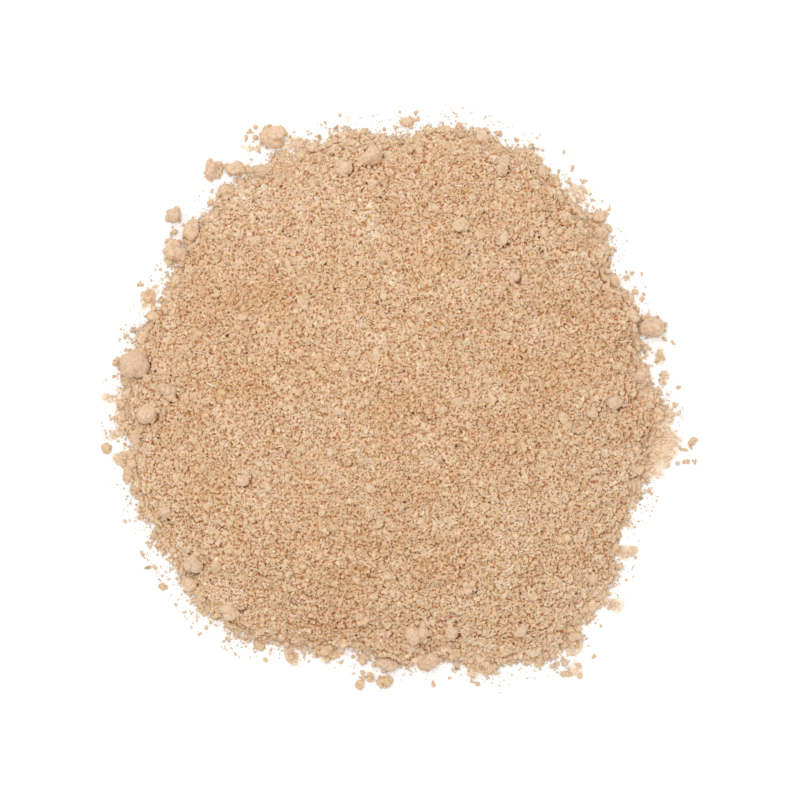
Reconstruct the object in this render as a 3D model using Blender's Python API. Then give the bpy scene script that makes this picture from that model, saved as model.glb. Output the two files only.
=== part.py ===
"""A heap of ground ginger root: one low mound of powder, the caked lumps that lie on it and
round its rim, and the larger crumbs that rolled clear of it.

Metres, +Z up. The mound, the rim lumps and the crumbs stand on z = 0. Every size below is in
millimetres and is turned into metres where a mesh is made.
"""
import math

import bmesh
import bpy
from mathutils import Vector, noise

MM = 0.001
COLLECTION = "ground_ginger_heap"

# The mound.
RIM_RADII = (36.8, 34.1, 35.4, 34.2, 36.9, 37.1, 38.3, 38.6, 37.9, 36.6, 37.9, 37.1,
             37.4, 37.3, 36.4, 35.6, 35.4, 37.3, 38.1, 36.8, 38.4, 37.8, 38.1, 39.8,
             38.0, 35.9, 35.3, 36.5, 36.1, 39.0, 41.0, 39.5, 38.8, 35.7, 35.5, 35.6)
MEAN_RIM = sum(RIM_RADII) / len(RIM_RADII)
RIM_WOBBLE = 0.25            # how far the rim strays from the smooth line through RIM_RADII
RIM_WOBBLE_SPAN = 4.0        # length of one stray along the rim
CROWN_HEIGHT = 10.5
LIP_HEIGHT = 0.8             # the rim climbs this much almost at once
LIP_RUN = 1.2
SWELLS = ((0.75, 15.0), (0.3, 6.0))      # height and length of the low humps on top
SWELL_FADE = 5.0             # the humps die out over this far from the rim
EQUATOR_BAND = 1e-4          # in unit-sphere lengths: nearer the equator than this is on the rim
SECTORS = 120
RINGS = 20                   # from the middle to the rim

# Lumps and crumbs.
GAP = 0.3                    # clear space between a lump and whatever it rests on
FEELER = 0.7                 # the mound is felt this far round a point before a lump rests on it
FOOTPRINT = 0.56             # how far a lump reaches from its middle, as a part of its length
LUMP_ROUGHNESS = 0.13        # how far a lump strays from a smooth ball, as a part of its size
LUMP_BUMPS = 1.6             # bumps to a lump: more makes them smaller
MOUND_SEAT = 0.15            # height of a lump's middle over the mound, as a part of its height
TABLE_SEAT = 0.40            # the same for one whose middle is over the table
LUMP_TALLNESS = 0.85         # height of a whole lump as a part of its width
SLICE_TOLERANCE = 0.01       # a point this near to a cut counts as lying in it
FINE_LUMP_FROM = 2.7         # a lump at least this long gets the finer mesh

# Each lump: x, y, length, width, and the turn of its length in degrees.
RIM_LUMPS = (
    (-17.3, 36.9, 3.7, 3.1, 10), (-25.7, 32.3, 2.9, 1.9, 68), (-22.4, 32.7, 3.2, 2.0, 5),
    (-18.8, 32.2, 2.6, 1.7, 10), (-23.8, 29.5, 2.2, 1.9, 0), (-31.1, 26.0, 2.0, 1.9, 0),
    (-31.0, 21.1, 3.4, 2.9, -20), (-28.7, 23.9, 3.2, 2.3, 75), (-36.5, 5.4, 4.3, 4.2, 30),
    (-34.7, -1.7, 3.0, 2.9, 0), (-36.2, -4.6, 1.5, 1.0, 90), (-37.6, -10.6, 1.4, 1.2, 0),
    (12.1, 37.1, 2.1, 1.9, 0), (1.6, 39.1, 1.8, 1.3, 0), (20.3, 32.2, 2.3, 1.8, -10),
    (28.3, 25.9, 2.1, 1.5, 15), (28.7, 23.7, 2.2, 2.1, 0), (32.8, 12.0, 2.4, 2.1, 0),
    (35.7, 10.5, 3.9, 2.3, 30), (33.5, 8.2, 1.6, 1.4, 0), (33.8, 3.7, 2.4, 2.2, 0),
    (-28.3, -22.6, 2.9, 2.7, 0), (-29.0, -25.6, 2.2, 2.1, 0), (-23.2, -29.4, 2.8, 2.3, 0),
    (-1.4, -36.8, 3.3, 2.0, 0), (4.4, -36.3, 3.1, 2.5, 20), (-4.3, -35.9, 1.4, 1.1, 0),
)
TOP_LUMPS = (
    (-3.6, 34.1, 3.4, 3.1, 0), (-7.1, 32.5, 2.1, 2.0, 0), (2.7, 35.7, 2.2, 1.8, 0),
    (14.7, 32.5, 2.0, 1.9, 0), (9.0, 24.5, 2.5, 2.3, 0), (14.8, 22.7, 2.4, 1.9, 80),
    (16.3, 17.1, 2.1, 1.6, 90), (-31.8, 1.2, 3.0, 2.4, 30), (-21.3, -10.9, 2.0, 1.8, 0),
    (-32.2, -15.4, 2.1, 1.9, 0), (30.3, -0.2, 2.4, 2.0, 0), (27.2, -1.4, 1.7, 1.7, 0),
    (2.8, -32.4, 3.4, 3.0, 0), (7.7, -32.2, 2.1, 2.0, 0), (17.4, -31.9, 2.1, 2.0, 0),
)
LOOSE_CRUMBS = (
    (-40.7, -6.5, 1.3, 1.2, 0), (-32.7, -26.0, 1.0, 0.9, 0), (-19.2, -34.1, 1.5, 1.4, 0),
    (-1.6, -39.2, 1.8, 1.6, 0), (-5.1, -39.5, 1.2, 1.1, 0), (-3.6, -38.6, 1.0, 0.9, 0),
    (41.4, -5.5, 0.9, 0.8, 60), (23.9, -38.1, 1.0, 0.8, 0),
)


def clear_scene():
    for obj in list(bpy.data.objects):
        bpy.data.objects.remove(obj, do_unlink=True)


def powder_material(name, colour, roughness):
    material = bpy.data.materials.new(name)
    material.use_nodes = True
    shader = material.node_tree.nodes["Principled BSDF"]
    shader.inputs["Base Color"].default_value = (*colour, 1.0)
    shader.inputs["Roughness"].default_value = roughness
    return material


def rim_radius(angle):
    """The rim's distance from the middle: a smooth closed curve through RIM_RADII, plus wobble."""
    place = (angle / math.tau) % 1.0 * len(RIM_RADII)
    first = int(place)
    part = place - first
    a, b, c, d = (RIM_RADII[(first + step) % len(RIM_RADII)] for step in (-1, 0, 1, 2))
    smooth = b + 0.5 * part * (c - a + part * (2 * a - 5 * b + 4 * c - d
                                               + part * (3 * (b - c) + d - a)))
    turn = Vector((math.cos(angle), math.sin(angle), 0.0)) * smooth / RIM_WOBBLE_SPAN
    return smooth + RIM_WOBBLE * noise.noise(turn)


def mound_height(x, y):
    """Height of the mound's surface over a point of the table, 0 outside the rim."""
    reach = math.hypot(x, y)
    rim = rim_radius(math.atan2(y, x))
    inside = rim - reach
    if inside <= 0.0:
        return 0.0
    lip = LIP_HEIGHT * (1.0 - math.exp(-inside / LIP_RUN))
    rounder_rim = MEAN_RIM + (rim - MEAN_RIM) * (reach / rim) ** 2
    dome = (CROWN_HEIGHT - LIP_HEIGHT) * (1.0 - (reach / rounder_rim) ** 2)
    fade = 1.0 - math.exp(-inside / SWELL_FADE)
    swell = sum(height * noise.noise(Vector((x, y, 3.0)) / length) for height, length in SWELLS)
    return lip + dome + fade * swell


def circle_points(x, y, radius, count=12):
    turns = (math.tau * step / count for step in range(count))
    return [(x + radius * math.cos(turn), y + radius * math.sin(turn)) for turn in turns]


def highest_near(x, y):
    """The mound's greatest height at a point and on a small circle round it."""
    return max(mound_height(*place) for place in [(x, y), *circle_points(x, y, FEELER)])


def resting_plane(x, y, reach):
    """A sloping plane just clear of the mound all over a circle: height at the middle, slopes."""
    slope_x = (mound_height(x + reach, y) - mound_height(x - reach, y)) / (2 * reach)
    slope_y = (mound_height(x, y + reach) - mound_height(x, y - reach)) / (2 * reach)
    places = [(x, y), *circle_points(x, y, reach), *circle_points(x, y, reach / 2)]
    heights = [highest_near(*place) for place in places]
    if max(heights) == 0.0:
        return 0.0, 0.0, 0.0
    rest = max(height - slope_x * (px - x) - slope_y * (py - y)
               for height, (px, py) in zip(heights, places))
    return rest + GAP, slope_x, slope_y


def add_object(name, mesh_builder, material, collection):
    mesh = bpy.data.meshes.new(name)
    mesh_builder.normal_update()
    mesh_builder.to_mesh(mesh)
    mesh_builder.free()
    mesh.materials.append(material)
    obj = bpy.data.objects.new(name, mesh)
    collection.objects.link(obj)
    return obj


def make_mound(collection):
    """The upper half of a sphere, drawn out to the rim and set to the mound's height."""
    builder = bmesh.new()
    bmesh.ops.create_uvsphere(builder, u_segments=SECTORS, v_segments=2 * RINGS, radius=1.0)
    below = [vertex for vertex in builder.verts if vertex.co.z < -EQUATOR_BAND]
    bmesh.ops.delete(builder, geom=below, context="VERTS")
    for vertex in builder.verts:
        on_rim = abs(vertex.co.z) < EQUATOR_BAND
        rim = rim_radius(math.atan2(vertex.co.y, vertex.co.x))
        x = vertex.co.x * rim
        y = vertex.co.y * rim
        z = 0.0 if on_rim else mound_height(x, y)
        vertex.co = Vector((x, y, z)) * MM
    rim_edges = [edge for edge in builder.edges if edge.is_boundary]
    bmesh.ops.contextual_create(builder, geom=rim_edges)
    bmesh.ops.recalc_face_normals(builder, faces=builder.faces)
    material = powder_material("mound powder", (0.62, 0.42, 0.25), 0.95)
    return add_object("powder_mound", builder, material, collection)


def cut_flat(builder, point, normal):
    """Slices off what lies under a plane and closes the cut with a flat face."""
    geometry = builder.verts[:] + builder.edges[:] + builder.faces[:]
    bmesh.ops.bisect_plane(builder, geom=geometry, dist=SLICE_TOLERANCE * MM,
                           plane_co=point, plane_no=normal, clear_inner=True)
    edges = [edge for edge in builder.edges if edge.is_boundary]
    if edges:
        bmesh.ops.contextual_create(builder, geom=edges)


def make_lump(name, spec, seed, material, collection):
    """A rough ball with its underside worn flat where it rests on the mound, the table or both."""
    x, y, length, width, turn = spec
    turn = math.radians(turn)
    height = LUMP_TALLNESS * width
    detail = 3 if length >= FINE_LUMP_FROM else 2
    builder = bmesh.new()
    bmesh.ops.create_icosphere(builder, subdivisions=detail, radius=1.0)
    rest, slope_x, slope_y = resting_plane(x, y, FOOTPRINT * length)
    middle = rest + height * (MOUND_SEAT if rest > 0.0 else TABLE_SEAT)
    for vertex in builder.verts:
        way = vertex.co.normalized()
        rough = 1.0 + LUMP_ROUGHNESS * noise.noise(way * LUMP_BUMPS + Vector((seed, 7.3, 1.9)))
        along = way.x * rough * length / 2
        across = way.y * rough * width / 2
        px = x + along * math.cos(turn) - across * math.sin(turn)
        py = y + along * math.sin(turn) + across * math.cos(turn)
        pz = middle + way.z * rough * height / 2
        vertex.co = Vector((px, py, pz)) * MM
    if rest > 0.0:
        cut_flat(builder, Vector((x, y, rest)) * MM, Vector((-slope_x, -slope_y, 1.0)))
    cut_flat(builder, Vector((0.0, 0.0, 0.0)), Vector((0.0, 0.0, 1.0)))
    bmesh.ops.recalc_face_normals(builder, faces=builder.faces)
    return add_object(name, builder, material, collection)


def make_group(prefix, specs, material, collection):
    for index, spec in enumerate(specs, start=1):
        seed = 0.61 * index + len(prefix)
        make_lump(f"{prefix}_{index:02d}", spec, seed, material, collection)


def centre_on_origin(collection):
    """Slide everything so that the whole heap's box is centred over the origin."""
    meshes = [obj.data for obj in collection.objects]
    points = [vertex.co for mesh in meshes for vertex in mesh.vertices]
    middle_x = (min(point.x for point in points) + max(point.x for point in points)) / 2
    middle_y = (min(point.y for point in points) + max(point.y for point in points)) / 2
    for mesh in meshes:
        for vertex in mesh.vertices:
            vertex.co.x -= middle_x
            vertex.co.y -= middle_y
    print(f"slid by {-middle_x / MM:.3f}, {-middle_y / MM:.3f} mm")


def main():
    clear_scene()
    collection = bpy.data.collections.new(COLLECTION)
    bpy.context.scene.collection.children.link(collection)
    make_mound(collection)
    caked = powder_material("caked powder", (0.66, 0.46, 0.29), 0.95)
    loose = powder_material("loose crumb", (0.55, 0.35, 0.19), 0.95)
    make_group("rim_lump", RIM_LUMPS, caked, collection)
    make_group("top_lump", TOP_LUMPS, caked.copy(), collection)
    make_group("loose_crumb", LOOSE_CRUMBS, loose, collection)
    centre_on_origin(collection)


main()
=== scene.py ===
"""A low heap of ground ginger root on a white table, seen from straight above.

The CAD mound gives the broad shape. Over it lies a skin of crumbs: a height map that takes the
highest of many small rounded caps. Loose crumbs, lumps, fibres and flecks are real meshes of
their own. Sizes are in millimetres and are turned into metres where a mesh is made.
"""
import math

import bmesh
import bpy
import numpy as np
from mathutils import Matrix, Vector, noise
from mathutils.bvhtree import BVHTree


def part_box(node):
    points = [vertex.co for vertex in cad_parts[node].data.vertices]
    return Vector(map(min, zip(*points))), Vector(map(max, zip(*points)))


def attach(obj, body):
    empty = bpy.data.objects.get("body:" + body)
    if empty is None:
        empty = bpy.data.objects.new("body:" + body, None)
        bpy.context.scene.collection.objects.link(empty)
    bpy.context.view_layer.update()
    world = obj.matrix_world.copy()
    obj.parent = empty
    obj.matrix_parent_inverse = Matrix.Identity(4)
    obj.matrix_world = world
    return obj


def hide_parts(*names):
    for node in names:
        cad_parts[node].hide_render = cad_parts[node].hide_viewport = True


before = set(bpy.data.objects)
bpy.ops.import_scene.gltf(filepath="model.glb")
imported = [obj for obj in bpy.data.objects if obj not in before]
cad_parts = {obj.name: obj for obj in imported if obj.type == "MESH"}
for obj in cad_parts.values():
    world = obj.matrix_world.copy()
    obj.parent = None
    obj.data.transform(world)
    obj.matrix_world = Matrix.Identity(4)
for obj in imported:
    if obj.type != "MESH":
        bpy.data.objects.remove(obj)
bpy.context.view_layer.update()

MM = 0.001
SEED = 20

# The skin of crumbs.
STEP = 0.08                  # spacing of the height map's points
SAMPLE_STEP = 0.25           # spacing at which the CAD mound is read
SKIN_MARGIN = 3.6            # the map reaches this far past the CAD mound
TILES = 4                    # the skin is split into TILES x TILES pieces
HILLS = ((0.22, 3.4), (0.14, 1.6))       # height and width of the small uneven hills
RIM_FRAY = ((0.50, 3.0), (0.55, 1.2), (0.42, 0.55))     # how far the rim strays, over what length
HILL_FADE = 2.0              # the hills die out over this far from the rim
SPUR_FRAY = 0.5              # how much of the fray the spurs and the bites below take on
BITE_FRAY = 0.3
FOOT_HEIGHT = 0.1            # the powder is this high at the rim, and no steeper than FOOT_SLOPE
FOOT_SLOPE = 1.3
THIN_HEIGHT = 0.55           # how thick the powder is where it strays past the CAD rim
THIN_RUN = 0.8
FILM_REACH = 0.15            # a thin film of dust goes this far past the frayed rim
FILM_FRAY = ((0.45, 1.3), (0.35, 0.4))
FILM_FADE = 1.2              # over this far the table shows through less and less
PIT_DEPTH = 0.26             # how deep the gaps between crumbs go
CLOD_LAYERS = (              # count, middle size, spread of sizes, height as a part of the size
    (5600, 1.20, 0.32, 0.24),
    (9500, 0.72, 0.28, 0.26),
)
CLOD_LIMITS = (0.4, 2.2)
CLOD_TONE_SPREAD = 0.30
CRUMB_LAYERS = (             # count, middle size, spread of sizes, how low the layer sits
    (125000, 0.20, 0.20, 0.09),
    (98000, 0.285, 0.28, 0.03),
    (9000, 0.46, 0.28, 0.01),
)
CRUMB_LIMITS = (0.14, 1.15)
SEAT_SPREAD = 0.078          # how unevenly crumbs of one layer sit
TILT_SPREAD = 0.38
CAP_SQUARENESS = 2.4         # 2 would make each cap a true oval from above
FILM_HEIGHTS = (0.035, 0.085)            # of the dust at its edge and 1 mm further in
SKIN_EDGE = 0.03             # the skin ends where it is lower than this
BARE_BELOW = 0.04            # lower than this it takes the dust's colour
UNDERSIDE_INSET = 0.6

# Colours, linear.
TAN = (0.724, 0.520, 0.324)
PINKISH = (0.76, 0.52, 0.38)
CREAM = (0.84, 0.67, 0.47)
OCHRE = (0.66, 0.37, 0.14)
BROWN = (0.46, 0.22, 0.08)
FILM = (0.83, 0.63, 0.45)    # thin dust
FILM_EDGE = (0.93, 0.84, 0.72)           # the same where the table shows through
BARK = (0.20, 0.075, 0.036)
CAKED = (0.745, 0.540, 0.370)
DUSTY = (0.84, 0.65, 0.47)
SLIVER = (0.87, 0.70, 0.49)
PIT_SHADE = (0.80, 0.49, 0.26)   # painted shade: how much darker and browner crumbs are made down in a crevice
PIT_SHADE_DEPTHS = (0.03, 0.24)              # the painted shade begins and is full at these depths
PIT_SHADE_REACH = 0.35           # depth is felt against the mean height this far each way
RIM_PALING = (0.05, 0.12, 0.24)          # how much lighter the powder is at the rim
RIM_PALING_RUN = 3.5
TONE = (0.057, 0.129, 0.225)             # what a tone of 1 takes off the colour
TONE_PATCHES = ((0.25, 9.0), (0.45, 3.2), (0.35, 1.6))   # strength and width of chance patches
STAINS = (                   # x, y, radius, tone of the larger brown and pale areas
    (1.7, 3.1, 4.6, 0.58), (-3.0, 0.5, 6.0, 0.22), (-20.0, 3.1, 3.2, 0.43), (-12.3, -13.7, 5.0, 0.40),
    (-6.7, -26.3, 3.8, 0.43), (12.9, -31.9, 3.4, 0.43), (26.9, 4.5, 4.5, 0.36),
    (17.1, 10.1, 3.2, -0.68), (20.0, 9.0, 2.6, -0.36), (12.9, -13.7, 5.5, -0.40), (4.5, -16.5, 4.0, -0.43),
    (22.7, -10.9, 4.5, -0.32), (11.5, 0.3, 4.0, -0.22), (-9.5, 22.7, 7.0, -0.25),
)

# Loose pieces.
TOP_CRUMBS = 4200
RIM_CRUMBS = (7000, 0.36, 0.38, 0.55)    # count, middle size, spread of sizes, how far they stray
RIM_DUST = (5200, 0.20, 0.25, 0.9)       # the same
RIM_CLUSTERS = 150
RIM_REACH = 3.6              # no crumb strays further from the frayed rim
RIM_OVERLAP = 0.15           # how far inside the rim the nearest ones lie
FILM_GRAINS = 1500
TOP_CLODS = 130
RIM_CLODS = 120
FIBRES = 85
FLECKS = 330
SECTORS = 8                  # the loose pieces of each kind are split into this many meshes
TABLE_REST = 0.46            # height of a crumb's middle over the table, as a part of its least size
CREVICE_WIDTH = 0.30         # the crack at the lower right foot of a lump
CREVICE_DEPTH = 0.45
CREVICE_PAINTED_SHADE = (0.62, 0.42, 0.30)        # painted shade: how much darker and browner the powder is made in the crack
LUMP_SEAT = 0.34             # height of a lump's middle over the powder, as a part of its half height
LUMP_TABLE_SEAT = 0.62       # the least it has over the table
LUMP_TALLNESS = 0.86         # height of a lump as a part of its width
KNOBS = 34.0                 # a lump has this many knobs times its mean width squared
KNOB_SIZE = 0.20             # how far a knob reaches from its middle
KNOB_HEIGHT = 0.036
RIM_BITES = (                # x, y, length, width, turn in degrees: white table cuts in here
    (-21.7, 30.9, 3.4, 0.9, 5), (-19.0, 34.2, 3.4, 1.0, 5), (-1.1, 37.5, 3.6, 1.5, 90),
    (-26.6, 27.2, 4.4, 2.4, 50), (-35.4, 11.8, 3.5, 1.8, 75), (-38.6, 2.0, 2.0, 1.6, 90),
    (15.4, 35.8, 4.0, 1.5, -15), (26.6, 27.9, 5.2, 2.2, -35), (29.4, 22.3, 3.2, 1.1, -5),
    (30.3, 19.3, 2.8, 1.2, -60), (34.0, 6.9, 1.8, 1.4, 0), (34.6, 1.7, 2.0, 1.4, 60),
    (34.3, -12.3, 3.4, 1.4, 80), (32.4, -17.9, 4.2, 1.2, 85), (30.7, -26.3, 2.6, 1.3, 60),
    (26.6, -31.6, 4.4, 1.2, 65), (16.8, -36.8, 5.8, 2.2, 5), (7.6, -37.0, 4.0, 1.4, 5),
    (10.9, -36.0, 1.9, 1.1, 90), (-28.8, -27.4, 4.2, 1.8, -30), (-22.4, -32.5, 6.2, 1.6, -28),
    (-17.9, -33.6, 3.4, 1.9, -20), (-5.7, -36.7, 3.4, 1.3, -15),
)
RIM_SPURS = (                # the same for powder that sticks out
    (-34.8, 14.7, 2.6, 1.8, 90), (34.9, -1.6, 5.2, 3.0, 80), (31.9, -21.1, 2.6, 1.6, 0),
    (30.0, -28.4, 3.0, 1.2, -10), (24.4, -33.6, 2.8, 2.2, 90), (12.1, -36.9, 3.6, 1.9, 15),
    (-15.1, -34.9, 2.4, 1.3, 90), (-9.5, -35.3, 3.4, 1.3, -10), (-39.0, 0.0, 2.2, 0.8, -20),
    (-38.8, -4.1, 2.2, 0.8, 20), (-38.4, -7.7, 1.8, 0.7, 0), (-5.1, 38.1, 2.6, 0.7, -50),
    (24.5, 29.8, 3.0, 1.0, 10),
)
FILM_PATCHES = (             # the same for thin dust on the table
    (36.9, -1.8, 4.4, 2.6, 80), (35.9, -6.2, 8.4, 6.2, 80), (12.1, -37.8, 3.4, 1.6, 10),
    (24.6, -37.4, 2.6, 1.8, 0),
    (36.7, 7.0, 3.0, 1.6, 90), (37.1, 3.1, 2.6, 1.0, 90), (24.6, 29.2, 3.4, 1.8, -30),
    (-14.0, 36.3, 3.6, 1.2, 10), (-20.0, 35.6, 2.8, 0.7, 5), (-35.3, 16.1, 2.4, 0.6, 5),
    (-38.2, -1.8, 6.4, 2.8, 90), (1.0, 39.6, 2.2, 1.0, 0), (28.9, 21.5, 2.4, 0.8, 0),
)
SET_CRUMBS = (               # size, tint, places x, y of the larger crumbs that lie round the rim
    (0.95, 1.0, ((-20.0, 37.1), (-31.3, 23.9), (-26.3, 28.0), (-35.3, 9.4), (-39.6, 5.5), (34.6, 7.7),
                 (36.6, 6.9), (23.3, -36.4), (25.4, -38.2), (21.6, -35.4), (19.6, -36.7),
                 (-25.7, -30.0), (-15.0, -35.6), (-9.9, -36.0), (33.1, 15.5), (-36.9, -4.2))),
    (0.66, 1.0, ((-20.0, 38.6), (-21.3, 37.1), (-36.0, 16.5), (-35.4, 10.4), (7.6, 38.1), (23.8, 30.9),
                 (24.4, 33.0), (16.8, 35.4), (25.9, 30.9), (28.3, 21.7), (29.1, 21.4), (32.1, 17.6),
                 (36.3, 6.0), (37.0, 3.6), (36.7, 1.5), (38.7, -0.3), (39.1, -8.5), (34.9, -10.9),
                 (25.2, -36.7), (4.9, -39.5), (9.8, -36.8), (-4.9, -38.6), (-12.3, -34.7),
                 (-26.9, -31.5), (-23.4, -31.5), (-35.1, -16.4), (-32.9, -20.9), (13.9, 37.7))),
    (0.46, 1.0, ((-20.7, 37.9), (-25.3, 27.9), (-38.2, 9.3), (-36.5, 8.5), (0.2, 40.7), (-0.4, 38.5),
                 (2.8, 39.6), (2.4, 40.6), (16.7, 36.8), (26.1, 29.7), (25.2, 29.4), (32.6, 18.1),
                 (34.1, 14.3), (37.1, 6.3), (37.3, 2.7), (38.4, -1.8), (40.9, -6.2), (40.1, -6.6),
                 (39.4, -6.4), (40.6, -8.1), (41.4, -8.3), (33.2, -21.7), (31.9, -24.8),
                 (20.6, -35.8), (-8.0, -36.4), (-27.7, -32.3), (-26.9, -28.6), (-36.2, -16.0),
                 (-33.6, -20.0), (27.3, -35.6))),
    (0.36, 1.0, ((-39.7, 3.7), (-10.3, 39.3), (8.6, 38.8), (23.3, 35.1), (29.6, 27.0), (30.4, 21.4),
                 (31.9, 18.3), (34.1, 17.9), (34.3, 15.3), (37.3, 9.0), (38.4, 8.3), (39.2, 2.0),
                 (40.1, -8.4), (35.3, -12.6), (33.1, -17.4), (27.0, -30.4), (-21.0, -31.9),
                 (-35.0, -19.7), (-33.3, -19.4))),
    (0.50, 0.60, ((-36.9, 9.9), (-8.7, 38.4), (18.9, 35.6), (34.0, -13.4), (8.1, -37.2), (-35.1, -23.1))),
)

CAMERA_HEIGHT = 700.0
VIEW_WIDTH = 112.0           # what the picture's width spans on the table
VIEW_CENTRE = (0.24, 0.36)
TABLE_HALF = 1500.0
TABLE_DROP = 0.02            # the table lies this far under the powder's flat face
WORLD_LIGHT = 0.88
LAMP_POWER = 1.5
LAMP_SIZE = 500.0
LAMP_PLACE = (-120.0, 220.0, 600.0)


# ---------------------------------------------------------------- meshes

def new_piece(name, points, faces, tints, spots, material):
    """A mesh from arrays: points in mm, equal-sided faces, a tint a point and a map spot a corner."""
    mesh = bpy.data.meshes.new(name)
    sides = faces.shape[1]
    mesh.vertices.add(len(points))
    mesh.vertices.foreach_set("co", (points * MM).astype(np.float32).ravel())
    mesh.loops.add(faces.size)
    mesh.loops.foreach_set("vertex_index", faces.astype(np.int32).ravel())
    mesh.polygons.add(len(faces))
    mesh.polygons.foreach_set("loop_start", np.arange(0, faces.size, sides, dtype=np.int32))
    mesh.polygons.foreach_set("use_smooth", np.ones(len(faces), bool))
    mesh.update(calc_edges=True)
    colour = mesh.color_attributes.new("tint", "FLOAT_COLOR", "POINT")
    rgba = np.ones((len(points), 4), np.float32)
    rgba[:, :3] = tints
    colour.data.foreach_set("color", rgba.ravel())
    layer = mesh.uv_layers.new(name="OFBake")
    layer.uv.foreach_set("vector", spots[faces].astype(np.float32).ravel())
    mesh.materials.append(material)
    piece = bpy.data.objects.new(name, mesh)
    bpy.context.scene.collection.objects.link(piece)
    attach(piece, "root")
    return piece


def spots_from_above(points, edge):
    """A map spot a point: its place seen from above, fitted into the unit square inside an edge."""
    spots = points[:, :2] - points[:, :2].min(axis=0)
    return edge + (1.0 - 2.0 * edge) * spots / spots.max()


def node_box(node):
    """The middle and the half sizes of a CAD node's box, in mm."""
    low, high = (np.array(corner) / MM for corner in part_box(node))
    return (low + high) / 2, (high - low) / 2


def unit_shape(builder):
    """The points, triangles and plain shades of a small bmesh, which is then freed."""
    bmesh.ops.triangulate(builder, faces=builder.faces)
    builder.verts.index_update()
    points = np.array([vertex.co[:] for vertex in builder.verts])
    faces = np.array([[vertex.index for vertex in face.verts] for face in builder.faces])
    builder.free()
    return points, faces, np.ones((len(points), 3))


# ---------------------------------------------------------------- broad shape

def smooth_field(shape, cell, rng):
    """Soft random hills between about -1 and 1, one hill to a cell of so many points."""
    rows = int(shape[0] / cell) + 4
    columns = int(shape[1] / cell) + 4
    knots = rng.uniform(-1.0, 1.0, (rows, columns))

    def weights(count):
        place = np.arange(count) / cell + 1.0
        first = place.astype(int)
        part = place - first
        near = np.stack([(1 - part) ** 3 / 6, (3 * part ** 3 - 6 * part ** 2 + 4) / 6,
                         (-3 * part ** 3 + 3 * part ** 2 + 3 * part + 1) / 6, part ** 3 / 6])
        return first, near

    row, row_near = weights(shape[0])
    column, column_near = weights(shape[1])
    across = sum(column_near[k][None, :] * knots[:, column - 1 + k] for k in range(4))
    hills = sum(row_near[k][:, None] * across[row - 1 + k, :] for k in range(4))
    return hills / 0.6


def layered_field(shape, layers, rng):
    """Hills of several sizes added up. Each layer is a height and a width in mm."""
    return sum(height * smooth_field(shape, width / STEP, rng) for height, width in layers)


def box_blur(values, reach):
    """The mean over a square of so many points each way."""
    for axis in (0, 1):
        padded = np.pad(values, [(reach + 1, reach) if a == axis else (0, 0) for a in (0, 1)],
                        mode="edge")
        total = np.cumsum(padded, axis=axis)
        ahead = np.take(total, np.arange(2 * reach + 1, total.shape[axis]), axis=axis)
        behind = np.take(total, np.arange(0, total.shape[axis] - 2 * reach - 1), axis=axis)
        values = (ahead - behind) / (2 * reach + 1)
    return values


class Mound:
    """The CAD mound as numbers: its rim, and its height over any point."""

    def __init__(self, node):
        mesh = node.data
        points = [vertex.co.copy() for vertex in mesh.vertices]
        self.tree = BVHTree.FromPolygons(points, [face.vertices[:] for face in mesh.polygons])
        foot = np.array([point[:2] for point in points if point.z < 1e-5]) / MM
        self.middle = foot.mean(axis=0)
        away = foot - self.middle
        angles = np.arctan2(away[:, 1], away[:, 0])
        order = np.argsort(angles)
        self.angles = angles[order]
        self.radii = np.hypot(away[:, 0], away[:, 1])[order]
        self.low = foot.min(axis=0) - SKIN_MARGIN
        self.high = foot.max(axis=0) + SKIN_MARGIN
        self.columns = int((self.high[0] - self.low[0]) / SAMPLE_STEP) + 2
        self.rows = int((self.high[1] - self.low[1]) / SAMPLE_STEP) + 2
        self.samples = np.zeros((self.rows, self.columns))
        for row in range(self.rows):
            for column in range(self.columns):
                self.samples[row, column] = self.felt(self.low[0] + column * SAMPLE_STEP,
                                                      self.low[1] + row * SAMPLE_STEP)
        self.samples = box_blur(self.samples, 1)

    def felt(self, x, y):
        hit = self.tree.ray_cast(Vector((x * MM, y * MM, 0.1)), Vector((0.0, 0.0, -1.0)))[0]
        return hit.z / MM if hit else 0.0

    def rim(self, angle):
        return np.interp(angle, self.angles, self.radii, period=math.tau)

    def height(self, x, y):
        column = np.clip((x - self.low[0]) / SAMPLE_STEP, 0, self.columns - 1.001)
        row = np.clip((y - self.low[1]) / SAMPLE_STEP, 0, self.rows - 1.001)
        c = column.astype(int)
        r = row.astype(int)
        u = column - c
        v = row - r
        s = self.samples
        return ((s[r, c] * (1 - u) + s[r, c + 1] * u) * (1 - v)
                + (s[r + 1, c] * (1 - u) + s[r + 1, c + 1] * u) * v)


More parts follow.
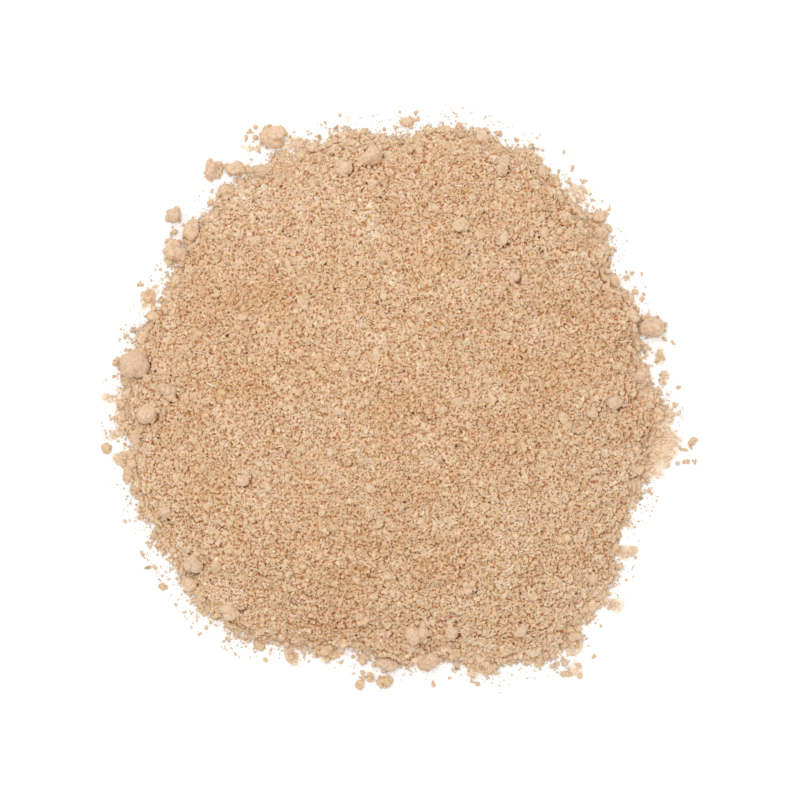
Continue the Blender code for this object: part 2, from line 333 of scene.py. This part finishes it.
class Ground:
    """The frayed, cloddy surface that the crumbs lie on, as a square map."""

    def __init__(self, mound, rng):
        self.mound = mound
        self.low = mound.low
        shape = tuple(int(size / STEP) + 1 for size in (mound.high - mound.low)[::-1])
        self.shape = shape
        self.x = self.low[0] + np.arange(shape[1])[None, :] * STEP + np.zeros((shape[0], 1))
        self.y = self.low[1] + np.arange(shape[0])[:, None] * STEP + np.zeros((1, shape[1]))
        away_x = self.x - mound.middle[0]
        away_y = self.y - mound.middle[1]
        reach = np.hypot(away_x, away_y)
        rim = mound.rim(np.arctan2(away_y, away_x))
        fray = layered_field(shape, RIM_FRAY, rng)
        self.inside = rim + fray - reach
        for patch in RIM_SPURS:
            self.inside = np.maximum(self.inside, self.depth_in(patch) + SPUR_FRAY * fray)
        for patch in RIM_BITES:
            self.inside = np.minimum(self.inside, -self.depth_in(patch) - BITE_FRAY * fray)
        under = mound.height(self.x, self.y)
        inside = np.clip(self.inside, 0.0, None)
        thin = THIN_HEIGHT * (1.0 - np.exp(-inside / THIN_RUN))
        fade = np.clip(inside / HILL_FADE, 0.0, 1.0)
        hills = layered_field(shape, HILLS, rng)
        foot = FOOT_HEIGHT + FOOT_SLOPE * inside
        self.bare = np.clip(np.maximum(under, thin) + fade * hills, 0.0, foot)
        self.bare[self.inside <= 0.0] = 0.0
        self.film = self.inside + FILM_REACH
        for patch in FILM_PATCHES:
            self.film = np.maximum(self.film, self.depth_in(patch))
        self.film += layered_field(shape, FILM_FRAY, rng)
        self.fade = fade
        self.tone = np.ones(shape + (3,), np.float32)
        self.top = self.bare.copy()
        self.tint = self.tone.copy()

    def depth_in(self, patch):
        """How far each point lies inside an oval, in mm, less than 0 outside."""
        x, y, length, width, turn = patch
        turn = math.radians(turn)
        along = (self.x - x) * math.cos(turn) + (self.y - y) * math.sin(turn)
        across = (self.y - y) * math.cos(turn) - (self.x - x) * math.sin(turn)
        far = np.hypot(along / (length / 2), across / (width / 2))
        return (1.0 - far) * min(length, width) / 2

    def settle_clods(self):
        """Makes the clods laid so far the ground that the crumbs lie on."""
        self.bare = self.top
        self.tone = self.tint
        self.top = np.maximum(self.bare - PIT_DEPTH * self.fade, 0.0)
        self.tint = np.tile(np.array(TAN, np.float32), self.shape + (1,))

    def cell(self, x, y):
        column = np.clip(np.rint((x - self.low[0]) / STEP).astype(int), 0, self.shape[1] - 1)
        row = np.clip(np.rint((y - self.low[1]) / STEP).astype(int), 0, self.shape[0] - 1)
        return row, column

    def is_inside(self, x, y, by=0.0):
        return self.inside[self.cell(x, y)] > by

    def lay_caps(self, caps, tints):
        """Raises the map to each cap where the cap is higher, and takes on its tint there."""
        row, column = self.cell(caps["x"], caps["y"])
        cos = np.cos(caps["turn"])
        sin = np.sin(caps["turn"])
        reach = int(math.ceil(caps["long"].max() / STEP)) + 1
        for down in range(-reach, reach + 1):
            for over in range(-reach, reach + 1):
                r = row + down
                c = column + over
                ok = (r >= 0) & (r < self.shape[0]) & (c >= 0) & (c < self.shape[1])
                r = np.where(ok, r, 0)
                c = np.where(ok, c, 0)
                dx = self.low[0] + c * STEP - caps["x"]
                dy = self.low[1] + r * STEP - caps["y"]
                along = dx * cos + dy * sin
                across = dy * cos - dx * sin
                far = (np.abs(along / caps["long"]) ** CAP_SQUARENESS
                       + np.abs(across / caps["wide"]) ** CAP_SQUARENESS)
                ok &= far < 1.0
                rise = caps["tall"] * np.sqrt(np.clip(1.0 - far, 0.0, 1.0))
                z = caps["z"] + rise + caps["tilt"] * along
                ok &= z > self.top[r, c]
                self.top[r[ok], c[ok]] = z[ok]
                self.tint[r[ok], c[ok]] = tints[ok]


# ---------------------------------------------------------------- crumbs

def sizes_around(middle, spread, count, rng):
    return np.clip(middle * np.exp(rng.normal(0.0, spread, count)), *CRUMB_LIMITS)


def mixed_tints(count, rng, dark_share=0.035):
    """A colour for each crumb: mostly tan, some pinkish, cream or ochre, a few brown."""
    kinds = np.array([TAN, PINKISH, CREAM, OCHRE, BROWN])
    shares = np.array([0.50, 0.27, 0.16, 0.07 - dark_share / 2, dark_share / 2])
    picked = kinds[rng.choice(len(kinds), count, p=shares / shares.sum())]
    blend = rng.uniform(0.25, 0.85, (count, 1))
    lightness = rng.normal(1.0, 0.055, (count, 1))
    return ((np.array(TAN) * blend + picked * (1.0 - blend)) * lightness).astype(np.float32)


def lay_clods(ground, rng):
    """Heaps the ground into soft clods, each with a tone of its own."""
    for count, middle, spread, rise in CLOD_LAYERS:
        x, y = over_mound(ground, count, rng, 0.15)
        size = middle * np.exp(rng.normal(0.0, spread, len(x)))
        size = np.clip(size, *CLOD_LIMITS)
        fade = ground.fade[ground.cell(x, y)]
        caps = {
            "x": x, "y": y,
            "z": ground.bare[ground.cell(x, y)] - (0.04 + rng.uniform(0.0, 0.10, len(x))) * size,
            "long": 0.5 * size * rng.uniform(1.0, 1.4, len(x)),
            "wide": 0.5 * size * rng.uniform(0.75, 1.0, len(x)),
            "tall": size * rise * rng.uniform(0.6, 1.3, len(x)) * (0.35 + 0.65 * fade),
            "turn": rng.uniform(0.0, math.tau, len(x)),
            "tilt": rng.normal(0.0, 0.12, len(x)),
        }
        shade = rng.normal(0.0, CLOD_TONE_SPREAD, (len(x), 1))
        tones = (1.0 - shade * np.array(TONE)).astype(np.float32)
        for part in np.array_split(np.argsort(size), 4):
            ground.lay_caps({key: value[part] for key, value in caps.items()}, tones[part])
    ground.settle_clods()


def lay_skin(ground, rng):
    """Covers the ground with layers of crumbs, the finest first."""
    for count, middle, spread, sunk in CRUMB_LAYERS:
        x = rng.uniform(ground.low[0], ground.mound.high[0], count)
        y = rng.uniform(ground.low[1], ground.mound.high[1], count)
        kept = ground.is_inside(x, y)
        x = x[kept]
        y = y[kept]
        size = sizes_around(middle, spread, len(x), rng)
        order = np.argsort(size)
        bare = ground.bare[ground.cell(x, y)]
        seat = bare - sunk - 0.25 * size + rng.normal(0.0, SEAT_SPREAD, len(x))
        caps = {
            "x": x, "y": y, "z": seat,
            "long": 0.5 * size * rng.uniform(1.0, 1.35, len(x)),
            "wide": 0.5 * size * rng.uniform(0.75, 1.0, len(x)),
            "tall": size * rng.uniform(0.35, 0.6, len(x)),
            "turn": rng.uniform(0.0, math.tau, len(x)),
            "tilt": rng.normal(0.0, TILT_SPREAD, len(x)),
        }
        tints = mixed_tints(len(x), rng)
        for part in np.array_split(order, 5):
            ground.lay_caps({key: value[part] for key, value in caps.items()}, tints[part])


def open_crevices(ground, lumps):
    """Sinks the powder along the lower right foot of each lump that lies in it, and makes its colour
    darker and browner there as painted shade.
    """
    for node in lumps:
        middle, half = node_box(node)
        over = ground.x - middle[0]
        up = ground.y - middle[1]
        edge = (np.hypot(over / half[0], up / half[1]) - 1.0) * half[:2].min()
        facing = (over - up) / (np.hypot(over, up) * math.sqrt(2.0) + 1e-6)
        share = np.exp(-(edge / CREVICE_WIDTH) ** 2) * np.clip(facing + 0.15, 0.0, 1.0) * ground.fade
        ground.top = np.maximum(ground.top - CREVICE_DEPTH * share, 0.0)
        # painted shade in the crack at the lump's foot
        ground.tint *= (1.0 + share[..., None] * (np.array(CREVICE_PAINTED_SHADE) - 1.0)).astype(np.float32)


def skin_tint_with_pit_shade(ground, rng):
    """The skin's colour: each crumb's own, with painted shade that makes it darker and browner down in the
    crevices, and paler at the rim.
    """
    lie = box_blur(ground.top, int(PIT_SHADE_REACH / STEP))
    depth = lie - ground.top
    low, high = PIT_SHADE_DEPTHS
    share = np.clip((depth - low) / (high - low), 0.0, 1.0)[..., None]
    # painted shade: the lower a point lies under its neighbours, the darker and browner its colour
    painted_pit_shade = 1.0 + share * (np.array(PIT_SHADE) - 1.0)
    near_rim = np.exp(-np.clip(ground.inside, 0.0, None) / RIM_PALING_RUN)[..., None]
    paler = 1.0 + near_rim * np.array(RIM_PALING)
    tone = layered_field(ground.shape, TONE_PATCHES, rng)
    for x, y, radius, strength in STAINS:
        away = np.hypot(ground.x - x, ground.y - y) / radius
        tone += strength * np.exp(-away ** 2)
    tone = 1.0 - tone[..., None] * np.array(TONE)
    powder = ground.tint * painted_pit_shade * paler * tone * ground.tone
    cover = np.clip(ground.film / FILM_FADE, 0.0, 1.0)[..., None]
    film = np.array(FILM_EDGE) * (1.0 - cover) + np.array(FILM) * cover
    bared = (ground.top <= BARE_BELOW)[..., None]
    return np.where(bared, film, powder)


def build_skin(ground, material, rng):
    """The height map as square tiles, without the cells that lie outside the rim."""
    tint = skin_tint_with_pit_shade(ground, rng)
    dust = np.where(ground.film > 0.0, np.interp(ground.film, (0.0, 1.0), FILM_HEIGHTS), 0.0)
    height = np.maximum(ground.top, dust)
    rows = np.linspace(0, ground.shape[0] - 1, TILES + 1).astype(int)
    columns = np.linspace(0, ground.shape[1] - 1, TILES + 1).astype(int)
    for i in range(TILES):
        for j in range(TILES):
            window = (slice(rows[i], rows[i + 1] + 1), slice(columns[j], columns[j + 1] + 1))
            z = height[window]
            solid = z > SKIN_EDGE
            used = solid[:-1, :-1] | solid[1:, :-1] | solid[:-1, 1:] | solid[1:, 1:]
            number = np.arange(z.size).reshape(z.shape)
            corners = [number[:-1, :-1], number[:-1, 1:], number[1:, 1:], number[1:, :-1]]
            faces = np.stack([corner[used] for corner in corners], axis=1)
            if not len(faces):
                continue
            kept, faces = np.unique(faces, return_inverse=True)
            faces = faces.reshape(-1, 4)
            points = np.stack([ground.x[window].ravel(), ground.y[window].ravel(),
                               z.ravel()], axis=1)[kept]
            tints = tint[window].reshape(-1, 3)[kept]
            spots = spots_from_above(points, 0.004)
            piece = new_piece(f"powder_skin_{i + 1}{j + 1}", points, faces, tints, spots,
                              material)
            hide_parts("powder_mound")


def build_underside(mound, material):
    """The flat face that the powder lies on, just inside the rim."""
    builder = bmesh.new()
    bmesh.ops.create_circle(builder, cap_ends=True, segments=96, radius=1.0)
    bmesh.ops.reverse_faces(builder, faces=builder.faces)
    for vertex in builder.verts:
        radius = mound.rim(math.atan2(vertex.co.y, vertex.co.x)) - UNDERSIDE_INSET
        vertex.co.x = mound.middle[0] + vertex.co.x * radius
        vertex.co.y = mound.middle[1] + vertex.co.y * radius
        vertex.co.z = 0.0
    points, faces, _ = unit_shape(builder)
    spots = spots_from_above(points, 0.004)
    tints = np.tile(np.array(TAN), (len(points), 1))
    piece = new_piece("powder_underside", points, faces, tints, spots, material)
    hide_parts("powder_mound")


# ---------------------------------------------------------------- loose grains

def crumb_shape(seed, detail=2, roughness=0.3):
    """A small lumpy stone-like crumb about one unit across."""
    builder = bmesh.new()
    bmesh.ops.create_icosphere(builder, subdivisions=detail, radius=0.5)
    for vertex in builder.verts:
        way = vertex.co.normalized()
        swell = noise.noise(way * 1.4 + Vector((seed * 3.1, 5.7, 0.3)))
        dent = noise.noise(way * 3.1 + Vector((2.9, seed * 1.7, 8.1)))
        vertex.co = way * 0.5 * (1.0 + roughness * swell + 0.4 * roughness * dent)
    return unit_shape(builder)


def fibre_shape(seed):
    """A thin bent sliver one unit long, thicker in the middle."""
    builder = bmesh.new()
    bmesh.ops.create_cone(builder, cap_ends=True, segments=5, radius1=1.0, radius2=1.0, depth=1.0)
    sides = [edge for edge in builder.edges if abs(edge.verts[0].co.z - edge.verts[1].co.z) > 0.5]
    bmesh.ops.subdivide_edges(builder, edges=sides, cuts=5, use_grid_fill=False)
    for vertex in builder.verts:
        along = vertex.co.z
        girth = 0.085 * (1.0 - (2.0 * abs(along)) ** 2.5) + 0.02
        bend = 0.09 * math.cos(along * 4.0 + seed) + 0.03 * math.sin(along * 11.0 + seed * 2.0)
        vertex.co = Vector((along, bend + vertex.co.x * girth, vertex.co.y * girth * 0.6))
    return unit_shape(builder)


def turns(count, rng, upright=1.0):
    """A turning matrix each. A low upright keeps them lying nearly flat."""
    spin = rng.uniform(0.0, math.tau, count)
    lean = rng.normal(0.0, upright, count)
    roll = rng.normal(0.0, upright, count)
    cz, sz = np.cos(spin), np.sin(spin)
    cy, sy = np.cos(lean), np.sin(lean)
    cx, sx = np.cos(roll), np.sin(roll)
    rows = [[cz * cy, cz * sy * sx - sz * cx, cz * sy * cx + sz * sx],
            [sz * cy, sz * sy * sx + cz * cx, sz * sy * cx - cz * sx],
            [-sy, cy * sx, cy * cx]]
    return np.array(rows).transpose(2, 0, 1)


def build_grains(prefix, shapes, grains, material):
    """Copies of the shapes in one mesh a sector. grains: place, size (x, y, z), turn, tint."""
    place, size, turn, tint = grains
    sector = ((np.arctan2(place[:, 1], place[:, 0]) / math.tau % 1.0) * SECTORS).astype(int)
    kind = np.arange(len(place)) % len(shapes)
    for index in range(SECTORS):
        all_points, all_faces, all_tints, all_spots = [], [], [], []
        start = 0
        here = sector == index
        side = int(math.ceil(math.sqrt(max(1, here.sum()))))
        box = 0
        for which, (points, faces, shades) in enumerate(shapes):
            mine = np.nonzero(here & (kind == which))[0]
            if not len(mine):
                continue
            sized = points[None] * size[mine][:, None, :]
            moved = np.einsum("gij,gpj->gpi", turn[mine], sized) + place[mine][:, None, :]
            all_points.append(moved.reshape(-1, 3))
            shift = start + np.arange(len(mine))[:, None, None] * len(points)
            all_faces.append((faces[None] + shift).reshape(-1, 3))
            all_tints.append((tint[mine][:, None, :] * shades[None]).reshape(-1, 3))
            boxes = box + np.arange(len(mine))
            corner = np.stack([boxes % side, boxes // side], axis=1)[:, None, :]
            flat = (points[:, :2] - points[:, :2].min(axis=0))
            flat = 0.15 + 0.7 * flat / flat.max()
            all_spots.append(((corner + flat[None]) / side).reshape(-1, 2))
            start += len(mine) * len(points)
            box += len(mine)
        if not all_points:
            continue
        new_piece(f"{prefix}_{index + 1}", np.concatenate(all_points), np.concatenate(all_faces),
                  np.concatenate(all_tints), np.concatenate(all_spots), material)


def crest_height(ground, x, y, cells=2):
    """The highest crumb top close to a point, or the table outside the rim."""
    row, column = ground.cell(x, y)
    highest = np.zeros(len(x))
    for down in range(-cells, cells + 1):
        for over in range(-cells, cells + 1):
            r = np.clip(row + down, 0, ground.shape[0] - 1)
            c = np.clip(column + over, 0, ground.shape[1] - 1)
            highest = np.maximum(highest, ground.top[r, c])
    return highest


def caked_tints(count, least, most, rng):
    """Colours between the loose powder's and the caked powder's."""
    share = rng.uniform(least, most, (count, 1))
    return np.array([TAN]) * (1 - share) + np.array([CAKED]) * share


def crumb_sizes(size, rng):
    stretch = np.stack([rng.uniform(0.9, 1.35, len(size)), rng.uniform(0.75, 1.05, len(size)),
                        rng.uniform(0.6, 0.9, len(size))], axis=1)
    return size[:, None] * stretch


def over_mound(ground, count, rng, by=0.4):
    """Random places inside the rim."""
    x = rng.uniform(ground.low[0], ground.mound.high[0], count * 2)
    y = rng.uniform(ground.low[1], ground.mound.high[1], count * 2)
    kept = np.nonzero(ground.is_inside(x, y, by))[0][:count]
    return x[kept], y[kept]


def settled(ground, x, y, sizes, sink, tint, rng, upright=1.0):
    """Grains laid where they come to rest: sunk a little into the skin, or on the table."""
    on_skin = crest_height(ground, x, y) + (0.5 - sink) * sizes[:, 2]
    on_table = TABLE_REST * sizes.min(axis=1)
    z = np.where(ground.is_inside(x, y), np.maximum(on_skin, on_table), on_table)
    return np.stack([x, y, z], axis=1), sizes, turns(len(x), rng, upright), tint


def top_crumbs(ground, rng):
    """Crumbs that lie loose on the skin."""
    x, y = over_mound(ground, TOP_CRUMBS, rng)
    size = sizes_around(0.36, 0.30, len(x), rng)
    tint = mixed_tints(len(x), rng) * rng.normal(1.01, 0.04, (len(x), 1))
    return settled(ground, x, y, crumb_sizes(size, rng), 0.6, tint, rng)


def rim_places(ground, count, run, rng):
    """Places along the frayed rim, most of them in clusters, fewer further out."""
    mound = ground.mound
    clusters = rng.uniform(-math.pi, math.pi, RIM_CLUSTERS)
    spread = rng.uniform(0.008, 0.035, RIM_CLUSTERS)
    push = rng.exponential(1.0, RIM_CLUSTERS)
    which = rng.integers(0, RIM_CLUSTERS, count)
    angle = clusters[which] + rng.normal(0.0, 1.0, count) * spread[which]
    outward = rng.exponential(run, count) * push[which]
    stray = rng.random(count) < 0.3
    angle = np.where(stray, rng.uniform(-math.pi, math.pi, count), angle)
    outward = np.where(stray, rng.exponential(run, count), outward)
    outward = np.minimum(outward, RIM_REACH) - RIM_OVERLAP
    rim = mound.rim(angle)
    for _ in range(4):
        rim = rim + 0.8 * ground.inside[ground.cell(mound.middle[0] + rim * np.cos(angle),
                                                    mound.middle[1] + rim * np.sin(angle))]
    x = mound.middle[0] + (rim + outward) * np.cos(angle)
    y = mound.middle[1] + (rim + outward) * np.sin(angle)
    return x, y, outward


def rim_crumbs(ground, count, middle, spread, run, rng):
    """Crumbs on the table round the rim, smaller further out."""
    x, y, outward = rim_places(ground, count, run, rng)
    size = sizes_around(middle, spread, count, rng)
    size *= np.where(outward > 1.2, 0.75, 1.0)
    tint = mixed_tints(count, rng, 0.06) * np.array([[1.02, 1.04, 1.08]])
    return settled(ground, x, y, crumb_sizes(size, rng), 0.5, tint, rng, 0.6)


def film_grains(ground, rng):
    """Fine grains in the thin dust round the rim."""
    x = rng.uniform(ground.low[0], ground.low[0] + STEP * ground.shape[1], 60 * FILM_GRAINS)
    y = rng.uniform(ground.low[1], ground.low[1] + STEP * ground.shape[0], 60 * FILM_GRAINS)
    where = ground.cell(x, y)
    on_film = (ground.film[where] > 0.15) & (ground.inside[where] < 0.0)
    kept = np.nonzero(on_film)[0][:FILM_GRAINS]
    x = x[kept]
    y = y[kept]
    size = sizes_around(0.26, 0.33, len(x), rng)
    tint = np.array([DUSTY]) * rng.normal(1.0, 0.05, (len(x), 1))
    return settled(ground, x, y, crumb_sizes(size, rng), 0.55, tint, rng, 0.6)


def set_crumbs(ground, rng):
    """The larger crumbs round the rim, each at its own place, with a few grains beside it."""
    rows = [(x, y, size, dark) for size, dark, places in SET_CRUMBS for x, y in places]
    x, y, size, dark = np.array(rows).T
    fringe = rng.integers(0, len(x), 2 * len(x))
    way = rng.uniform(0.0, math.tau, len(fringe))
    x = np.concatenate([x, x[fringe] + 0.75 * size[fringe] * np.cos(way)])
    y = np.concatenate([y, y[fringe] + 0.75 * size[fringe] * np.sin(way)])
    size = np.concatenate([size, rng.uniform(0.2, 0.42, len(fringe))])
    dark = np.concatenate([dark, np.ones(len(fringe))])
    tint = caked_tints(len(x), 0.1, 0.8, rng) * dark[:, None]
    return settled(ground, x, y, crumb_sizes(size, rng), 0.5, tint, rng, 0.5)


def lump_crumbs(ground, lumps, rng):
    """Crumbs caught round the foot of each lump."""
    x, y = [], []
    for node in lumps:
        middle, half = node_box(node)
        count = int(5 * half[:2].sum()) + 2
        way = rng.uniform(0.0, math.tau, count)
        reach = rng.uniform(0.88, 1.18, count)
        x.extend(middle[0] + reach * half[0] * np.cos(way))
        y.extend(middle[1] + reach * half[1] * np.sin(way))
    x = np.array(x)
    y = np.array(y)
    size = sizes_around(0.48, 0.32, len(x), rng)
    tint = caked_tints(len(x), 0.0, 0.9, rng)
    return settled(ground, x, y, crumb_sizes(size, rng), 0.5, tint, rng, 0.6)


def clods(ground, rng):
    """Small soft clods of powder on top and along the rim."""
    x, y = over_mound(ground, TOP_CLODS, rng)
    rim_x, rim_y, _ = rim_places(ground, RIM_CLODS, 0.25, rng)
    x = np.concatenate([x, rim_x])
    y = np.concatenate([y, rim_y])
    size = np.clip(1.05 * np.exp(rng.normal(0.0, 0.28, len(x))), 0.6, 1.9)
    tint = caked_tints(len(x), 0.2, 0.9, rng)
    return settled(ground, x, y, crumb_sizes(size, rng), 0.72, tint, rng, 0.4)


def fibres(ground, rng):
    """Pale broken slivers of root lying on the skin."""
    x, y = over_mound(ground, FIBRES, rng, 1.0)
    length = rng.uniform(0.7, 1.7, len(x))
    thick = rng.uniform(0.7, 1.3, len(x))
    sizes = np.stack([length, 1.1 * thick, thick], axis=1)
    z = crest_height(ground, x, y) + 0.02
    tint = np.array([SLIVER]) * rng.uniform(0.85, 1.05, (len(x), 1))
    return np.stack([x, y, z], axis=1), sizes, turns(len(x), rng, 0.12), tint


def flecks(ground, rng):
    """Dark bits of root bark."""
    x, y = over_mound(ground, FLECKS, rng)
    size = rng.uniform(0.24, 0.46, len(x))
    sizes = size[:, None] * np.array([[1.25, 0.8, 0.4]])
    z = crest_height(ground, x, y, 1)
    tint = np.array([BARK]) * rng.uniform(0.7, 1.9, (len(x), 1))
    return np.stack([x, y, z], axis=1), sizes, turns(len(x), rng, 0.3), tint


# ---------------------------------------------------------------- lumps

def lump_shape(seed, detail, radius):
    """A caked lump two units across: balls run together, worn flats and a crumbly face."""
    builder = bmesh.new()
    bmesh.ops.create_icosphere(builder, subdivisions=detail, radius=1.0)
    ways, faces, _ = unit_shape(builder)
    ways /= np.linalg.norm(ways, axis=1)[:, None]
    rng = np.random.default_rng(int(seed * 100))

    far = np.full(len(ways), 0.62)
    for _ in range(4):
        away = rng.normal(0.0, 0.30, 3)
        girth = rng.uniform(0.50, 0.76)
        toward = ways @ away
        inner = girth ** 2 - away @ away + toward ** 2
        far = np.maximum(far, toward + np.sqrt(np.clip(inner, 0.0, None)))
    flats = rng.normal(0.0, 1.0, (7, 3))
    flats /= np.linalg.norm(flats, axis=1)[:, None]
    facing = np.maximum(ways @ flats.T, 0.05)
    cut = (rng.uniform(0.62, 0.90, 7) / facing).min(axis=1)
    far = np.minimum(far, 0.3 * far + 0.7 * cut)

    count = int(KNOBS * 4.0 * radius ** 2) + 16
    spots = rng.normal(0.0, 1.0, (count, 3))
    spots /= np.linalg.norm(spots, axis=1)[:, None]
    close = ways @ spots.T
    owner = close.argmax(axis=1)
    gap = np.arccos(np.clip(close.max(axis=1), -1.0, 1.0)) * radius
    knob = np.sqrt(np.clip(1.0 - (gap / KNOB_SIZE) ** 2, 0.0, 1.0)) * rng.uniform(0.5, 1.0, count)[owner]
    far = far + (KNOB_HEIGHT * knob + rng.normal(0.0, 0.004, len(ways))) / radius
    # Each knob has a tone of its own; off the knobs, in the hollows between them, the colour is made
    # darker and browner as painted shade.
    shades = rng.normal(1.0, 0.035, count)[owner] * (0.86 + 0.14 * np.clip(2.2 * knob, 0.0, 1.0))
    painted_gap_shade = (1.0 - np.clip(2.2 * knob, 0.0, 1.0))[:, None] * np.array([[0.0, 0.05, 0.09]])
    points = ways * far[:, None]
    points = 2.0 * (points - points.min(axis=0)) / np.ptp(points, axis=0) - 1.0
    return points, faces, shades[:, None] - painted_gap_shade


def build_lump(node, seed, ground, material):
    """The visible lump that stands for one CAD lump or crumb."""
    middle, half = node_box(node)
    detail = 6 if max(half[:2]) > 1.2 else 5
    points, faces, shades = lump_shape(seed, detail, float(np.mean(half)))
    half[2] = LUMP_TALLNESS * min(half[:2])
    skin = ground.bare[ground.cell(middle[0], middle[1])]
    middle[2] = max(skin + LUMP_SEAT * half[2], LUMP_TABLE_SEAT * half[2])
    points = points * half + middle
    points[:, 2] = np.maximum(points[:, 2], 0.0)
    spots = spots_from_above(points, 0.01)
    rng = np.random.default_rng(int(seed * 1000))
    loose = node.startswith("loose")
    base = np.array(TAN if loose else CAKED) * rng.uniform(0.95, 1.04)
    piece = new_piece("visible_" + node, points, faces, base * shades, spots, material)
    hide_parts(node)


# ---------------------------------------------------------------- materials

def powder_material(name, grain, bump, mottle):
    """Matt powder: the mesh's tint with a fine mottle, a fine bump and no gloss."""
    material = bpy.data.materials.new(name)
    material.use_nodes = True
    tree = material.node_tree
    shader = tree.nodes["Principled BSDF"]
    tint = tree.nodes.new("ShaderNodeAttribute")
    tint.attribute_name = "tint"
    place = tree.nodes.new("ShaderNodeTexCoord")
    speckle = tree.nodes.new("ShaderNodeTexNoise")
    speckle.inputs["Scale"].default_value = 1.0 / (grain * MM)
    speckle.inputs["Detail"].default_value = 3.0
    tree.links.new(place.outputs["Object"], speckle.inputs["Vector"])
    lightness = tree.nodes.new("ShaderNodeMapRange")
    lightness.inputs["From Min"].default_value = 0.3
    lightness.inputs["From Max"].default_value = 0.7
    lightness.inputs["To Min"].default_value = 1.0 - mottle
    lightness.inputs["To Max"].default_value = 1.0 + mottle
    tree.links.new(speckle.outputs["Fac"], lightness.inputs["Value"])
    shade = tree.nodes.new("ShaderNodeVectorMath")
    shade.operation = "SCALE"
    tree.links.new(tint.outputs["Color"], shade.inputs[0])
    tree.links.new(lightness.outputs["Result"], shade.inputs["Scale"])
    tree.links.new(shade.outputs["Vector"], shader.inputs["Base Color"])
    dullness = tree.nodes.new("ShaderNodeMapRange")
    dullness.inputs["To Min"].default_value = 0.82
    dullness.inputs["To Max"].default_value = 1.0
    tree.links.new(speckle.outputs["Fac"], dullness.inputs["Value"])
    tree.links.new(dullness.outputs["Result"], shader.inputs["Roughness"])
    relief = tree.nodes.new("ShaderNodeBump")
    relief.inputs["Strength"].default_value = bump
    relief.inputs["Distance"].default_value = 0.05 * MM
    tree.links.new(speckle.outputs["Fac"], relief.inputs["Height"])
    tree.links.new(relief.outputs["Normal"], shader.inputs["Normal"])
    shader.inputs["Specular IOR Level"].default_value = 0.15
    return material


def table_material():
    material = bpy.data.materials.new("white table")
    material.use_nodes = True
    shader = material.node_tree.nodes["Principled BSDF"]
    shader.inputs["Base Color"].default_value = (0.97, 0.97, 0.97, 1.0)
    shader.inputs["Roughness"].default_value = 0.9
    shader.inputs["Specular IOR Level"].default_value = 0.0
    return material


# ---------------------------------------------------------------- stage

def build_stage():
    """A white table, an even white sky and one broad soft lamp."""
    builder = bmesh.new()
    bmesh.ops.create_grid(builder, x_segments=1, y_segments=1, size=TABLE_HALF * MM)
    mesh = bpy.data.meshes.new("table")
    builder.to_mesh(mesh)
    builder.free()
    mesh.materials.append(table_material())
    table = bpy.data.objects.new("table", mesh)
    table.location.z = -TABLE_DROP * MM
    bpy.context.scene.collection.objects.link(table)

    world = bpy.data.worlds.new("white sky")
    world.use_nodes = True
    sky = world.node_tree.nodes["Background"]
    sky.inputs["Color"].default_value = (1.0, 1.0, 1.0, 1.0)
    sky.inputs["Strength"].default_value = WORLD_LIGHT
    bpy.context.scene.world = world

    lamp = bpy.data.lights.new("soft lamp", "AREA")
    lamp.size = LAMP_SIZE * MM
    lamp.energy = LAMP_POWER
    holder = bpy.data.objects.new("soft lamp", lamp)
    holder.location = Vector(LAMP_PLACE) * MM
    holder.rotation_euler = (-holder.location).to_track_quat("-Z", "Y").to_euler()
    bpy.context.scene.collection.objects.link(holder)


def build_camera():
    """Straight down, with a long lens."""
    camera = bpy.data.cameras.new("camera")
    camera.sensor_width = 36.0
    camera.lens = camera.sensor_width * CAMERA_HEIGHT / VIEW_WIDTH
    camera.clip_start = 0.05
    camera.clip_end = 5.0
    holder = bpy.data.objects.new("camera", camera)
    holder.location = Vector((*VIEW_CENTRE, CAMERA_HEIGHT)) * MM
    bpy.context.scene.collection.objects.link(holder)
    bpy.context.scene.camera = holder


def main():
    rng = np.random.default_rng(SEED)
    powder = powder_material("ground ginger", 0.11, 0.35, 0.10)
    caked = powder_material("caked ginger", 0.16, 0.5, 0.08)
    mound = Mound(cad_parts["powder_mound"])
    ground = Ground(mound, rng)
    lay_clods(ground, rng)
    lay_skin(ground, rng)
    lumps = sorted(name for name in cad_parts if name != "powder_mound")
    open_crevices(ground, lumps)
    build_skin(ground, powder, rng)
    build_underside(mound, powder)

    stones = [crumb_shape(seed) for seed in range(10)]
    grits = [crumb_shape(seed + 20, detail=1, roughness=0.5) for seed in range(8)]
    slivers = [fibre_shape(seed) for seed in range(5)]
    soft_clods = [lump_shape(seed + 0.5, 4, 0.55) for seed in range(9)]
    soft_clods = [(points / 2, faces, shades) for points, faces, shades in soft_clods]
    build_grains("top_crumbs", stones, top_crumbs(ground, rng), powder)
    around = rim_crumbs(ground, *RIM_CRUMBS, rng)
    build_grains("rim_crumbs", stones, around, powder)
    dust = rim_crumbs(ground, *RIM_DUST, rng)
    build_grains("rim_dust", grits, dust, powder)
    build_grains("thin_dust", grits, film_grains(ground, rng), powder)
    build_grains("set_crumbs", stones, set_crumbs(ground, rng), powder)
    build_grains("clods", soft_clods, clods(ground, rng), caked)
    build_grains("fibres", slivers, fibres(ground, rng), powder)
    build_grains("bark_flecks", grits, flecks(ground, rng), powder)

    build_grains("lump_crumbs", stones, lump_crumbs(ground, lumps, rng), powder)
    for index, node in enumerate(lumps):
        build_lump(node, 1.0 + 0.37 * index, ground, caked)

    build_stage()
    build_camera()
    bpy.context.scene.view_settings.view_transform = "Standard"


main()
